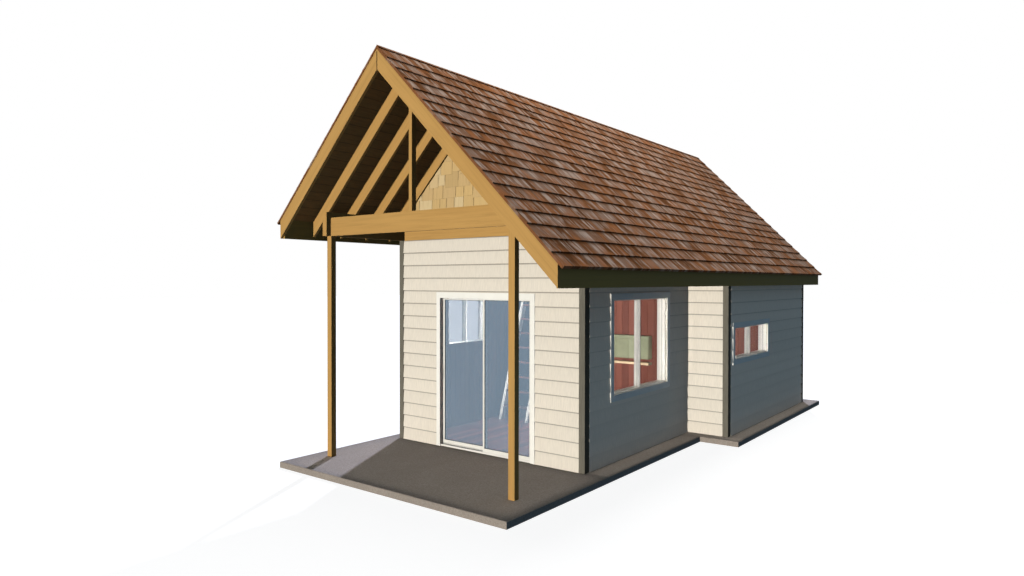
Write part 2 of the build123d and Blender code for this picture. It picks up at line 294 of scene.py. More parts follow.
def under_roof(piece, drop):
    """Cuts a piece off along both slopes, a plumb distance under the deck's upper face."""
    for side in (-1, 1):
        slice_off(piece, (0, 0, RIDGE - drop), (side, 0, 1))


def keep(piece, name, values):
    """Keeps one number for each point of a piece, for its finish to read."""
    layer = piece.data.attributes.new(name, "FLOAT", "POINT")
    layer.data.foreach_set("value", numpy.asarray(values, dtype=numpy.float32).ravel())


def scatter(piece, rows, per_row, across, down, seed, spread, shift, gap):
    """Gives each board of a field its own width and end line, and a tone of its own."""
    dice = numpy.random.default_rng(seed)
    places = numpy.empty(len(piece.data.vertices) * 3, dtype=numpy.float32)
    piece.data.vertices.foreach_get("co", places)
    field = places.reshape(rows, per_row, -1, 3)
    start = field[0, :, :, across].min()
    end = field[0, :, :, across].max() + gap
    for row in field:
        widths = dice.uniform(1 - spread, 1 + spread, per_row)
        joints = start + (end - start) * numpy.concatenate(([0], numpy.cumsum(widths))) / widths.sum()
        for board, left, right in zip(row, joints, joints[1:]):
            old = board[:, across]
            old_low, old_high = old.min(), old.max()
            board[:, across] = left + (old - old_low) * (right - gap - left) / (old_high - old_low)
        row[:, :, down] += dice.uniform(-shift, shift, (per_row, 1))
    piece.data.vertices.foreach_set("co", places)
    piece.data.update()
    shades = dice.random((rows, per_row, 1)) * numpy.ones((1, 1, field.shape[2]))
    keep(piece, "tone", shades)


def ring(name, low, high, axis, width):
    """Makes a rectangular frame: a box with its two broad faces inset and bridged through."""
    eased = 0.002
    piece = block(name, low, high)
    pick(piece, "FACE", lambda f: abs(f.normal[axis]) > 0.9)
    bpy.ops.mesh.inset(thickness=width, use_even_offset=True)
    bpy.ops.mesh.bridge_edge_loops()
    close()
    modify(piece, "BEVEL", width=eased, segments=2, limit_method="ANGLE")
    return piece


def join(pieces):
    """Makes several pieces one, under the first one's name."""
    deselect()
    for piece in pieces:
        piece.select_set(True)
    bpy.context.view_layer.objects.active = pieces[0]
    bpy.ops.object.join()
    return pieces[0]


def dress(piece, finish, body="building"):
    """Gives a finished piece its finish and the body it moves with."""
    piece.data.materials.clear()
    piece.data.materials.append(finish)
    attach(piece, body)


def paint(finish, *nodes):
    """Gives solids that show as they are their finish."""
    for name in nodes:
        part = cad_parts[name]
        if not part.material_slots:
            raise RuntimeError("no material slot on " + name)
        for place in part.material_slots:
            place.material = finish


def along(facing, face, start, end, base, top, thickness):
    """Gives the low and high corner of a layer on a wall, from its run, heights and thickness."""
    axis, sign = FACINGS[facing]
    low, high = [0.0, 0.0, base], [0.0, 0.0, top]
    low[1 - axis], high[1 - axis] = start, end
    low[axis], high[axis] = sorted((face, face + sign * thickness))
    return low, high


# Finishes

CHALK = (0.80, 0.76, 0.68)
# Colour of the painted shadow line under each siding butt
SHADOW_LINE_COLOUR = (0.215, 0.185, 0.150)
HONEY = (0.62, 0.30, 0.07)
RUST = (0.265, 0.102, 0.038)
BLUSH = (0.26, 0.104, 0.040)
UMBER = (0.088, 0.035, 0.011)
# Colour of the painted shadow under each shingle course
LAP_SHADOW = (0.072, 0.024, 0.006)
AMBER = (0.74, 0.50, 0.19)
BUTTER = (0.84, 0.70, 0.42)

# How the wood grain is stretched: short across, long along the piece
UPRIGHT, CROSSWAYS, LENGTHWAYS = (38, 38, 1.6), (1.6, 38, 38), (38, 1.6, 38)


class Flow:
    """A shader socket that works in sums, so that a pattern reads as a formula."""

    def __init__(self, finish, socket):
        self.finish = finish
        self.socket = socket

    def sum(self, operation, first, second=0.0):
        return self.finish.add("ShaderNodeMath", {"operation": operation}, {0: first, 1: second})

    def __add__(self, other):
        return self.sum("ADD", self, other)

    def __sub__(self, other):
        return self.sum("SUBTRACT", self, other)

    def __rsub__(self, other):
        return self.sum("SUBTRACT", other, self)

    def __mul__(self, other):
        return self.sum("MULTIPLY", self, other)

    def __truediv__(self, other):
        return self.sum("DIVIDE", self, other)

    def __mod__(self, other):
        return self.sum("FLOORED_MODULO", self, other)

    def __gt__(self, other):
        return self.sum("GREATER_THAN", self, other)

    def __abs__(self):
        return self.sum("ABSOLUTE", self)

    def __floor__(self):
        return self.sum("FLOOR", self)


class Finish:
    """A material in the making: its nodes, and the patterns that the finishes share."""

    def __init__(self, name):
        self.material = bpy.data.materials.new(name)
        self.material.use_nodes = True
        self.tree = self.material.node_tree
        self.tree.nodes.clear()
        self.shader = self.tree.nodes.new("ShaderNodeBsdfPrincipled")
        output = self.tree.nodes.new("ShaderNodeOutputMaterial")
        self.tree.links.new(self.shader.outputs[0], output.inputs["Surface"])
        self.place = self.add("ShaderNodeTexCoord", out="Object")

    def add(self, kind, settings=None, sockets=None, out=0):
        """Adds one node: its settings first, then the values or links of its sockets."""
        node = self.tree.nodes.new(kind)
        for key, value in (settings or {}).items():
            if key == "stops":
                ramp = node.color_ramp.elements
                while len(ramp) < len(value):
                    ramp.new(0.5)
                for element, (position, colour) in zip(ramp, value):
                    element.position = position
                    element.color = (*colour, 1.0)
            else:
                setattr(node, key, value)
        for key, value in (sockets or {}).items():
            self.feed(node.inputs[key], value)
        return Flow(self, node.outputs[out])

    def feed(self, socket, value):
        """Links a flow to a socket, or sets the socket's own value."""
        if isinstance(value, Flow):
            self.tree.links.new(value.socket, socket)
        elif socket.type == "RGBA" and len(value) == 3:
            socket.default_value = (*value, 1.0)
        else:
            socket.default_value = value

    def surface(self, **sockets):
        """Sets the shader's sockets, with underscores for the spaces in their names."""
        for name, value in sockets.items():
            self.feed(self.shader.inputs[name.replace("_", " ")], value)
        return self.material

    def turned(self, scale, turn=(0.0, 0.0, 0.0), share=1.0):
        """Turns, then stretches, the place that a pattern reads."""
        place = self.place
        if any(turn):
            place = self.add("ShaderNodeMapping", None, {"Vector": place, "Rotation": turn})
        stretch = tuple(value * share for value in scale)
        return self.add("ShaderNodeMapping", None, {"Vector": place, "Scale": stretch})

    def noise(self, place, scale, detail=3.0, rough=0.55, own=None):
        """Gives a cloudy pattern between 0 and 1, a different one for each value of its own number."""
        sockets = {"Vector": place, "Scale": scale, "Detail": detail, "Roughness": rough}
        if own is None:
            return self.add("ShaderNodeTexNoise", None, sockets)
        return self.add("ShaderNodeTexNoise", {"noise_dimensions": "4D"}, {**sockets, "W": own})

    def grain(self, scale, detail=3.0, rough=0.55, turn=(0.0, 0.0, 0.0), share=1.0, own=None):
        """Gives a cloudy pattern stretched along a direction."""
        return self.noise(self.turned(scale, turn, share), 1.0, detail, rough, own)

    def part(self, letter, place=None):
        """Gives one of a place's three numbers."""
        return self.add("ShaderNodeSeparateXYZ", None, {0: place or self.place}, letter)

    def fade(self, value, low, high, first=0.0, last=1.0):
        """Maps a value smoothly from one range to another."""
        return self.add("ShaderNodeMapRange", {"interpolation_type": "SMOOTHSTEP"}, {
            "Value": value, "From Min": low, "From Max": high, "To Min": first, "To Max": last})

    def mix(self, share, first, second, blend="MIX"):
        """Mixes two colours."""
        return self.add("ShaderNodeMix", {"data_type": "RGBA", "blend_type": blend}, {
            0: share, 6: first, 7: second}, 2)

    def cover(self, pattern, low, high, share, first, second):
        """Lays the second colour over the first where a pattern runs high, up to a share."""
        return self.mix(self.fade(pattern, low, high, 0.0, share), first, second)

    def ramp(self, value, *stops):
        """Gives a colour from a row of stops."""
        return self.add("ShaderNodeValToRGB", {"stops": stops}, {"Fac": value})

    def kept(self, name):
        """Gives a number that a piece keeps for its points."""
        return self.add("ShaderNodeAttribute", {"attribute_name": name}, None, "Fac")

    def chance(self, value):
        """Gives a number between 0 and 1 that jumps with each whole step of a value."""
        return self.add("ShaderNodeTexWhiteNoise", {"noise_dimensions": "1D"}, {"W": math.floor(value)})

    def shaded(self, colour, share):
        """Paints shade on the faces that look to the right, by leaving only a share of a colour there."""
        side = self.part("X", self.add("ShaderNodeNewGeometry", out="Normal"))
        return self.cover(side, 0.80, 0.95, 1.0, colour, self.mix(1.0, colour, share, "MULTIPLY"))

    def bump(self, height, depth, strength=1.0):
        """Turns a height into the shader's normal."""
        return self.add("ShaderNodeBump", None, {
            "Strength": strength, "Distance": depth, "Height": height})


def times(colour, factor):
    """Gives a colour made lighter or darker by a factor."""
    return tuple(min(1.0, channel * factor) for channel in colour[:3])


def toward(colour, other, share):
    """Gives a colour part of the way to another."""
    return tuple(a + (b - a) * share for a, b in zip(colour[:3], other[:3]))


def siding_finish(name, sizes, base, shadow_line_strength, low, high, dim=(1.0, 1.0, 1.0)):
    """Cream paint with a fine upright texture; a painted shadow line under each butt, stronger upward
    between two levels; painted shade darkening each board towards the butt above; and painted shade on the
    faces that look to the right.
    """
    f = Finish(name)
    fibre = f.grain((95, 95, 5), 3.0, 0.6)
    cloud = f.noise(f.place, 1.7, 4.0, 0.6)
    level = f.part("Z")
    course = (level - SLAB_TOP) / sizes.siding_exposure
    rise = course % 1.0
    # Painted shadow under each butt: a dark line at the top of each course, whose strength grows from a
    # tenth at the low level to full at the high one.
    line = f.fade(rise, 0.885, 0.955) * f.fade(level, low, high, shadow_line_strength * 0.10, shadow_line_strength)
    # Painted shade: each board darkens towards the butt above it.
    under_butt_shade = f.fade(rise, 0.55, 1.0, 0.0, 0.10)
    brushed = f.cover(fibre, 0.30, 0.72, 1.0, times(base, 0.925), times(base, 1.045))
    faded = f.cover(cloud, 0.35, 0.75, 0.30, brushed, toward(base, CHALK, 0.6))
    board = f.mix(f.chance(course) * 0.09 + under_butt_shade, faded, times(base, 0.62))
    return f.surface(
        Base_Color=f.shaded(f.mix(line, board, SHADOW_LINE_COLOUR), dim),
        Roughness=f.fade(cloud, 0.2, 0.8, 0.62, 0.78),
        Normal=f.bump(fibre, 0.0012, 0.55))


def trim_finish(name, base, gloss=0.42, dim=None, sash=False):
    """Brushed white paint, a little dulled in patches, with painted shade on the right-hand faces when
    dimmed, and on the right-hand windows' frames painted shadow lines where a sash meets its frame and a
    painted darker band deeper in.
    """
    f = Finish(name)
    brush = f.grain((60, 60, 9), 2.0)
    cloud = f.noise(f.place, 3.1, 3.0)
    colour = f.cover(cloud, 0.35, 0.75, 1.0, times(base, 1.02), times(base, 0.95))
    if dim:
        colour = f.shaded(colour, dim[:3])
    # Painted shadow: a thin dark line and a darker band deeper in, on the frames of the right-hand windows.
    for face in (RIGHT_FACE, WING_FACE) if sash else ():
        depth = face - f.part("X")
        line = f.fade(depth, 0.066, 0.070) * f.fade(depth, 0.076, 0.080, 0.36, 0.0)
        inner = f.fade(depth, 0.098, 0.104) * f.fade(depth, 0.180, 0.190, 0.20, 0.0)
        colour = f.mix(line + inner, colour, times(base, 0.10))
    return f.surface(
        Base_Color=colour, Roughness=f.fade(brush, 0.2, 0.8, gloss - 0.08, gloss + 0.12),
        Normal=f.bump(brush, 0.0003, 0.12))


def corner_finish(base):
    """Taupe paint over sawn boards, worn in upright streaks, with painted shade on the faces that look to
    the right.
    """
    f = Finish("corner_paint")
    saw = f.grain((140, 140, 7), 3.0)
    cloud = f.grain((4, 4, 1.5), 4.0)
    colour = f.cover(saw, 0.3, 0.75, 1.0, times(base, 0.84), times(base, 1.14))
    worn = f.cover(cloud, 0.5, 0.8, 0.35, colour, times(base, 1.45))
    return f.surface(
        Base_Color=f.shaded(worn, (0.50, 0.50, 0.50)), Specular_IOR_Level=0.06,
        Roughness=f.fade(saw, 0.2, 0.8, 0.55, 0.75), Normal=f.bump(saw, 0.001, 0.4))


def wood_finish(name, base, scale, turn=(0.0, 0.0, 0.0), bands=0.16, joint=False):
    """Sawn wood with long grain lines, growth bands, a few darker streaks and a dark joint at the ridge,
    with painted shade on the faces that look to the right.
    """
    f = Finish(name)
    grain = f.grain(scale, 4.0, 0.62, turn)
    band = f.grain(scale, 2.0, 0.5, turn, 0.22)
    streak = f.grain(scale, 2.0, 0.55, turn, 0.55)
    colour = f.ramp(
        f.fade(grain, 0.28, 0.74),
        (0.0, times(base, 0.90)), (0.45, base), (1.0, times(base, 1.07)))
    warm = f.cover(band, 0.35, 0.68, 0.40, colour, toward(times(base, 0.94), HONEY, bands))
    dark = f.cover(streak, 0.60, 0.74, 0.18, warm, times(base, 0.62))
    if joint:
        dark = f.mix(f.fade(abs(f.part("X")), 0.003, 0.011, 1.0, 0.0), dark, times(base, 0.12))
    return f.surface(
        Base_Color=f.shaded(dark, (0.50, 0.57, 0.64)), Specular_IOR_Level=0.08,
        Roughness=f.fade(grain, 0.2, 0.8, 0.47, 0.71), Normal=f.bump(grain, 0.0015, 0.45))


def deck_finish(base, end_colour):
    """Dark sarking boards that run along the roof, each a shade of its own, with paler ends."""
    f = Finish("deck_boards")
    board_rise, first_joint = 0.092, -0.03
    course = (f.part("Z") - first_joint) / board_rise
    rise, run = course % 1.0, f.part("Y")
    edge = f.fade(rise, 0.0, 0.07) * f.fade(rise, 0.93, 1.0, 1.0, 0.0)
    grain = f.grain((60, 4, 60), 4.0)
    own = f.mix(f.chance(course), times(base, 0.95), times(base, 1.06))
    board = f.cover(grain, 0.3, 0.75, 0.5, own, times(base, 0.6))
    end = (run > DECK_HIGH[1] - NEAR) + (DECK_LOW[1] + NEAR - run > 0.0)
    return f.surface(
        Base_Color=f.mix(end, f.mix(edge, times(base, 0.60), board), end_colour),
        Roughness=0.74, Specular_IOR_Level=0.10, Normal=f.bump(edge + grain * 0.15, 0.004, 0.5))


def shingle_finish(brown, grey):
    """Split roof shingles: brown to weathered grey, streaked down the slope, with painted shadow under the
    next course.
    """
    f = Finish("roof_shingle")
    shade, rise = f.kept("tone"), f.kept("rise")
    long_streak = f.grain((2.6, 14, 2.6), 3.0, 0.6, own=shade * 43)
    fine_streak = f.grain((4, 120, 4), 2.0, 0.6)
    patch = f.grain((2.6, 6.0, 2.6), 3.0, own=shade * 17)
    own = f.ramp(
        shade,
        (0.0, times(brown, 0.62)), (0.22, times(brown, 0.86)), (0.50, brown),
        (0.70, toward(brown, grey, 0.35)), (0.86, toward(brown, grey, 0.70)),
        (0.94, toward(BLUSH, brown, 0.4)), (1.0, (0.25, 0.102, 0.042)))
    silver = f.cover(long_streak, 0.47, 0.63, 0.95, own, times(grey, 1.30))
    rust = f.fade(patch, 0.50, 0.63, 0.0, 0.62) + f.fade(rise, 0.05, 0.42, 0.30, 0.0)
    worn = f.cover(fine_streak, 0.50, 0.76, 0.40, f.mix(rust, silver, RUST), UMBER)
    # Painted shadow: darker towards the butt of the next course.
    return f.surface(
        Base_Color=f.cover(rise, 0.60, 0.99, 0.52, worn, LAP_SHADOW), Specular_IOR_Level=0.0,
        Roughness=f.fade(long_streak, 0.2, 0.8, 0.74, 0.90),
        Normal=f.bump(long_streak * 0.6 + fine_streak * 0.4, 0.004, 0.6))


def gable_finish(base):
    """Pale straw shingles with upright grain, each a shade of its own."""
    f = Finish("gable_shingle")
    grain = f.grain((70, 70, 4), 3.0)
    own = f.ramp(
        f.kept("tone"),
        (0.0, times(base, 0.84)), (0.35, toward(base, AMBER, 0.6)),
        (0.70, times(base, 1.06)), (1.0, toward(base, BUTTER, 0.7)))
    return f.surface(
        Base_Color=f.cover(grain, 0.45, 0.78, 0.40, own, times(base, 0.70)),
        Roughness=f.fade(grain, 0.2, 0.8, 0.66, 0.82), Normal=f.bump(grain, 0.002, 0.5))


def lining_finish(name, base, letter, width):
    """Stained lining boards, each a shade of its own, with upright grain and a few knots."""
    f = Finish(name)
    grain = f.grain((75, 75, 3), 4.0, 0.6)
    knot = f.grain((9, 9, 2), 2.0)
    light = toward(times(base, 1.12), (0.26, 0.09, 0.06), 0.4)
    own = f.mix(f.chance(f.part(letter) / width), times(base, 0.80), light)
    lined = f.cover(grain, 0.42, 0.76, 0.5, own, times(base, 0.58))
    return f.surface(
        Base_Color=f.cover(knot, 0.66, 0.78, 0.45, lined, times(base, 0.45)),
        Roughness=f.fade(grain, 0.2, 0.8, 0.50, 0.66), Normal=f.bump(grain, 0.0015, 0.4))


def plank_finish(base):
    """Red-brown floor planks, each a shade of its own, with long grain and a worn sheen."""
    f = Finish("floor_plank")
    grain = f.grain((85, 3.2, 85), 4.0, 0.6)
    wear = f.grain((2.2, 1.1, 1), 3.0)
    own = f.mix(f.kept("tone"), times(base, 0.50), times(base, 1.45))
    lined = f.cover(grain, 0.42, 0.76, 0.5, own, times(base, 0.55))
    return f.surface(
        Base_Color=f.cover(wear, 0.45, 0.75, 0.25, lined, toward(base, (0.45, 0.22, 0.18), 0.5)),
        Roughness=f.fade(wear, 0.3, 0.8, 0.50, 0.34), Normal=f.bump(grain, 0.001, 0.35))


def concrete_finish(base):
    """Trowelled concrete: fine sand speckle, pores and soft stains, with painted shade on the faces that
    look to the right.
    """
    f = Finish("slab_concrete")
    speck = f.noise(f.place, 230.0, 2.0, 0.7)
    sand = f.noise(f.place, 62.0, 3.0, 0.6)
    stain = f.noise(f.turned((1.0, 0.6, 1.0)), 1.5, 5.0, 0.6)
    pore = f.add("ShaderNodeTexVoronoi", {"feature": "F1"}, {"Vector": f.place, "Scale": 75.0}, "Distance")
    hole = f.fade(pore, 0.06, 0.17, 1.0, 0.0)
    smooth = f.cover(stain, 0.32, 0.70, 1.0, times(base, 0.93), times(base, 1.06))
    gritty = f.cover(sand, 0.35, 0.68, 0.60, smooth, times(base, 0.62))
    light = f.cover(speck, 0.58, 0.74, 0.55, gritty, times(base, 1.65))
    colour = f.mix(hole * 0.7, light, times(base, 0.35))
    return f.surface(
        Base_Color=f.shaded(colour, (0.50, 0.60, 0.72)), Specular_IOR_Level=0.06,
        Roughness=f.fade(stain, 0.2, 0.8, 0.78, 0.92),
        Normal=f.bump(sand * 0.5 + speck * 0.3 - hole * 0.8, 0.002, 0.6))


def glass_finish(name, tint, roughness, left, right):
    """Thin tinted glass with faint wiped streaks, whose cover may differ from left to right."""
    f = Finish(name)
    wipe = f.grain((5, 5, 1.3), 3.0)
    return f.surface(
        Base_Color=f.cover(wipe, 0.35, 0.75, 1.0, times(tint, 0.98), times(tint, 1.03)), IOR=1.45,
        Roughness=f.fade(wipe, 0.3, 0.8, roughness, roughness + 0.05),
        Alpha=f.fade(f.part("X"), -1.0, 1.0, left, right))


def rubber_finish():
    """Dark glazing rubber with a dusty bloom."""
    f = Finish("glazing_rubber")
    dust = f.noise(f.place, 45.0, 3.0)
    return f.surface(
        Base_Color=f.cover(dust, 0.45, 0.8, 1.0, (0.018, 0.024, 0.030), (0.055, 0.062, 0.068)),
        Roughness=f.fade(dust, 0.2, 0.8, 0.55, 0.75))


def cabinet_finish(base):
    """Sage brush paint with rubbed patches."""
    f = Finish("cabinet_paint")
    brush = f.grain((6, 60, 60), 3.0)
    cloud = f.noise(f.place, 5.0, 3.0)
    patchy = f.cover(cloud, 0.35, 0.7, 1.0, times(base, 0.90), times(base, 1.10))
    return f.surface(
        Base_Color=f.cover(brush, 0.55, 0.8, 0.3, patchy, times(base, 1.30)),
        Roughness=f.fade(brush, 0.2, 0.8, 0.48, 0.64), Normal=f.bump(brush, 0.0006, 0.3))


def paper_finish():
    """Pale even paper for the stage's floor, which gives off most of its own light."""
    f = Finish("stage_floor_paper")
    cloud = f.noise(f.place, 0.4, 2.0)
    return f.surface(
        Base_Color=f.cover(cloud, 0.2, 0.8, 1.0, (0.24, 0.24, 0.24), (0.26, 0.26, 0.26)), Roughness=0.9,
        Emission_Color=(1.0, 1.0, 1.0), Emission_Strength=0.90)


# Pieces


def lap_siding(name, sizes, facing, face, start, end, top):
    """One wall's siding: a board tapered to its upper edge, stacked in courses up to a level."""
    axis, sign = FACINGS[facing]
    course = sizes.siding_exposure
    lap_gap = 0.0004
    piece = block(name, *along(
        facing, face, start, end, SLAB_TOP, SLAB_TOP + course - lap_gap, sizes.siding_butt))
    step = [0.0, 0.0, 0.0]
    step[axis] = -sign * (sizes.siding_butt - sizes.siding_tip)
    outer = face + sign * sizes.siding_butt
    slide(piece, lambda co: co.z > SLAB_TOP + course / 2 and abs(co[axis] - outer) < NEAR, step)
    repeat(piece, math.ceil((top - SLAB_TOP) / course), (0, 0, course))
    slice_off(piece, (0, 0, top), (0, 0, 1))
    return piece


def window_cut(piece, key, margin, reach):
    """Takes a window's opening, with a margin round it, out of a layer on its wall."""
    facing, face, start, end, low, high = WINDOWS[key]
    inside = face - FACINGS[facing][1] * reach
    cut_out(piece, *along(
        facing, inside, start - margin, end + margin, low - margin, high + margin, 2 * reach))


class Maker:
    """What the operators of the pieces share: they make their pieces from the scene's settings."""

    def execute(self, context):
        self.make(context.scene.boathouse_sizes, context.scene.boathouse_colours)
        return {"FINISHED"}


class BOATHOUSE_OT_siding(Maker, bpy.types.Operator):
    """Clads the outer walls in tapered lap siding, cut round the door, windows and corner boards"""

    bl_idname = "boathouse.siding"
    bl_label = "Lap Siding"

    def make(self, sizes, colours):
        cream = colours.siding
        # The strength of the painted shadow line under each butt; on the sides it grows from a tenth at 0.8
        # m to full at 2 m, and the sides' right-hand faces get painted shade.
        across = siding_finish("siding_paint_gables", sizes, cream, shadow_line_strength=0.74, low=-1.0, high=0.0)
        along_side = siding_finish(
            "siding_paint_sides", sizes, cream, shadow_line_strength=0.34, low=0.8, high=2.0, dim=(0.95, 0.95, 1.0))
        eave = RIDGE - UNDER_RAFTERS - EAVE_GAP
        main_top = eave - RIGHT_FACE - sizes.siding_butt
        wing_top = eave - WING_FACE - sizes.siding_butt
        left_end, right_end = LEFT_FACE + CORNER_FRONT, RIGHT_FACE - CORNER_FRONT
        wing_end, rear_end = WING_FACE - CORNER_FRONT, REAR_FACE - CORNER_SIDE
        front, left, right, step, wing, rear = (lap_siding(name, sizes, *wall) for name, *wall in (
            ("front_siding", "-y", 0.0, left_end, right_end, FRIEZE_LOW[2]),
            ("left_siding", "-x", LEFT_FACE, CORNER_SIDE, rear_end, main_top),
            ("right_siding", "+x", RIGHT_FACE, CORNER_SIDE, WING_FRONT, main_top),
            ("wing_front_siding", "-y", WING_FRONT, RIGHT_FACE, wing_end, eave - RIGHT_FACE),
            ("wing_siding", "+x", WING_FACE, WING_FRONT + CORNER_SIDE, rear_end, wing_top),
            ("rear_siding", "+y", REAR_FACE, left_end, wing_end, RIDGE)))
        cut_out(front, (DOOR_LOW[0], -LAYER_REACH, 0.0), (DOOR_HIGH[0], LAYER_REACH, DOOR_HIGH[2]))
        for piece, key in ((left, "left"), (right, "front_room"), (wing, "wing")):
            window_cut(piece, key, CASING, LAYER_REACH)
        slice_off(step, (0, 0, eave), (1, 0, 1))
        under_roof(rear, DECK_PLUMB + ROOF_GAP)
        for piece in (front, step, rear):
            dress(piece, across)
        for piece in (left, right, wing):
            dress(piece, along_side)
        paint(across, "front_wall_left", "front_wall_right", "wing_front_wall", "rear_wall")
        paint(along_side, "left_wall", "right_front_wall", "wing_side_wall")


class BOATHOUSE_OT_gable(Maker, bpy.types.Operator):
    """Covers the gable over the frieze in shingles of uneven widths and butts"""

    bl_idname = "boathouse.gable"
    bl_label = "Gable Shingles"

    def make(self, sizes, colours):
        straw = colours.gable
        course, width = sizes.gable_exposure, sizes.gable_width
        gap, butt, taper, lap = 0.007, 0.009, 0.006, 0.03
        base = FRIEZE_HIGH[2]
        half = RIDGE - UNDER_RAFTERS - base
        per_row = math.ceil(2 * half / width)
        rows = math.ceil(half / course) + 1
        piece = block(
            "gable_shingles",
            (-half, -butt, base - lap), (-half + width - gap, 0.0, base + course + lap))
        slide(piece, lambda co: co.z > base + course / 2 and co.y < -butt / 2, (0, taper, 0))
        soften(piece, lambda e: all(v.co.y < -0.9 * butt for v in e.verts), 0.002)
        repeat(piece, per_row, (width, 0, 0))
        repeat(piece, rows, (0, 0, course))
        scatter(piece, rows, per_row, across=0, down=2, seed=11, spread=0.38, shift=0.022, gap=gap)
        slice_off(piece, (0, 0, base), (0, 0, -1))
        under_roof(piece, UNDER_RAFTERS + GABLE_GAP)
        dress(piece, gable_finish(straw))
        # The gable wall behind the shingles is painted dark so that the gaps between them read as shade:
        # painted shade.
        paint(wood_finish("gable_boards", times(straw, 0.42), UPRIGHT), "front_gable_wall")


class BOATHOUSE_OT_roof(Maker, bpy.types.Operator):
    """Lays the two roof slopes in courses of single shingles, and finishes the deck under them"""

    bl_idname = "boathouse.roof"
    bl_label = "Roof Shingles"

    def make(self, sizes, colours):
        finish = shingle_finish(colours.shingle_brown, colours.shingle_grey)
        rake_gap = 0.012
        front, rear = SHINGLE_LOW[1] + rake_gap, SHINGLE_HIGH[1] - rake_gap
        for name, reach, turn, start, end, seed in (
            ("right_shingle_courses", SHINGLE_HIGH[0], 0.0, front, rear, 21),
            ("left_shingle_courses", -SHINGLE_LOW[0], math.pi, -rear, -front, 22),
        ):
            piece = self.slope(name, sizes, reach * math.sqrt(2), start, end, seed)
            piece.rotation_euler = (0, math.radians(45), turn)
            piece.location = (0, 0, RIDGE)
            settle(piece)
            dress(piece, finish)
            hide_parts(name.replace("_shingle_courses", "_shingles"))
        paint(deck_finish(colours.deck, times(colours.timber, 0.9)), "left_roof_deck", "right_roof_deck")

    def slope(self, name, sizes, run, start, end, seed):
        """One slope laid flat: down the slope along X, along the eave on Y, the deck at zero."""
        course, length, butt = sizes.shingle_exposure, sizes.shingle_length, sizes.shingle_butt
        gap, lift, tip = 0.004, 0.40 * butt, 0.006
        per_row = round((end - start) / sizes.shingle_width)
        width = (end - start) / per_row
        rows = math.ceil(run / course)
        middle = run - length / 2
        piece = block(name, (run - length, start, 0.0), (run, start + width - gap, tip))
        slide(piece, lambda co: co.x > middle and co.z > tip / 2, (0, 0, butt - tip))
        slide(piece, lambda co: co.x > middle and co.z < tip / 2, (0, 0, lift))
        soften(piece, lambda e: all(v.co.x > middle and v.co.z > butt * 0.9 for v in e.verts), 0.003)
        keep(piece, "rise", [(run - vertex.co.x) / course for vertex in piece.data.vertices])
        repeat(piece, per_row, (0, width, 0))
        repeat(piece, rows, (-course, 0, 0))
        scatter(piece, rows, per_row, across=1, down=0, seed=seed, spread=0.45, shift=0.002, gap=gap)
        self.close_eave(piece, rows, run, lift)
        self.light_ridge(piece, rows)
        piece = join([piece, self.edges(run, start, end, butt)])
        slice_off(piece, (0, 0, 0), (-1, 0, -1))
        return piece

    def edges(self, run, start, end, butt):
        """The two strips that cap the shingle ends along the rakes, eased on their upper corners."""
        past, inside, foot, eave_gap = 0.004, 0.008, 0.001, 0.006
        strip = block(
            "rake_strips", (-butt, start - past, foot), (run - eave_gap, start + inside, butt * 0.72))
        soften(strip, lambda e: all(v.co.z > butt * 0.5 for v in e.verts), 0.003)
        repeat(strip, 2, (0, end - start - past, 0))
        count = len(strip.data.vertices)
        keep(strip, "tone", [0.97] * count)
        keep(strip, "rise", [0.4] * count)
        return strip

    def close_eave(self, piece, rows, run, lift):
        """Brings the under side of the lowest course down to the deck, as its doubled course does."""
        butt_zone = run - 0.05
        corners = piece.data.vertices
        for vertex in corners[:len(corners) // rows]:
            if vertex.co.x > butt_zone and vertex.co.z < lift * 1.05:
                vertex.co.z = 0.0

    def light_ridge(self, piece, rows):
        """Keeps the two top courses free of the painted shadow that a course above would throw."""
        layer = piece.data.attributes["rise"].data
        values = numpy.empty(len(layer), dtype=numpy.float32)
        layer.foreach_get("value", values)
        values.reshape(rows, -1)[-2:] *= 0.3
        layer.foreach_set("value", values)


class BOATHOUSE_OT_timber(Maker, bpy.types.Operator):
    """Finishes posts, beams, rafters, rakes and fascias in oiled timber with the grain along each"""

    bl_idname = "boathouse.timber"
    bl_label = "Porch and Roof Timber"

    def make(self, sizes, colours):
        base = colours.timber
        # Painted shade: the fascia boards' timber is tinted toward olive, the colour that they show in
        # shade.
        eave = toward(times(base, 0.98), (0.4, 0.4, 0.1), 0.25)
        quarter = math.radians(45)
        paint(wood_finish("timber_upright", base, UPRIGHT), "porch_posts", "king_post")
        paint(wood_finish("timber_cross", base, CROSSWAYS), "collar_beam", "frieze_board")
        paint(wood_finish("timber_long", base, LENGTHWAYS), "porch_headers")
        paint(wood_finish("timber_eave", eave, LENGTHWAYS), "fascia_boards")
        for side, turn in (("left", quarter), ("right", -quarter)):
            slope = wood_finish("timber_" + side + "_slope", base, CROSSWAYS, (0, turn, 0), joint=True)
            paint(slope, side + "_rafters", side + "_rake_boards")


class BOATHOUSE_OT_trim(Maker, bpy.types.Operator):
    """Finishes the corner boards and the door and window casings"""

    bl_idname = "boathouse.trim"
    bl_label = "Corner Boards and Casings"

    def make(self, sizes, colours):
        paint(corner_finish(colours.corner), "corner_boards")
        paint(trim_finish("trim_paint", times(colours.trim, 1.06)), "door_casing")
        # The window casings get painted shade on their right-hand faces.
        paint(trim_finish("window_trim_paint", colours.trim, dim=colours.window_casing_shade), "window_casings")


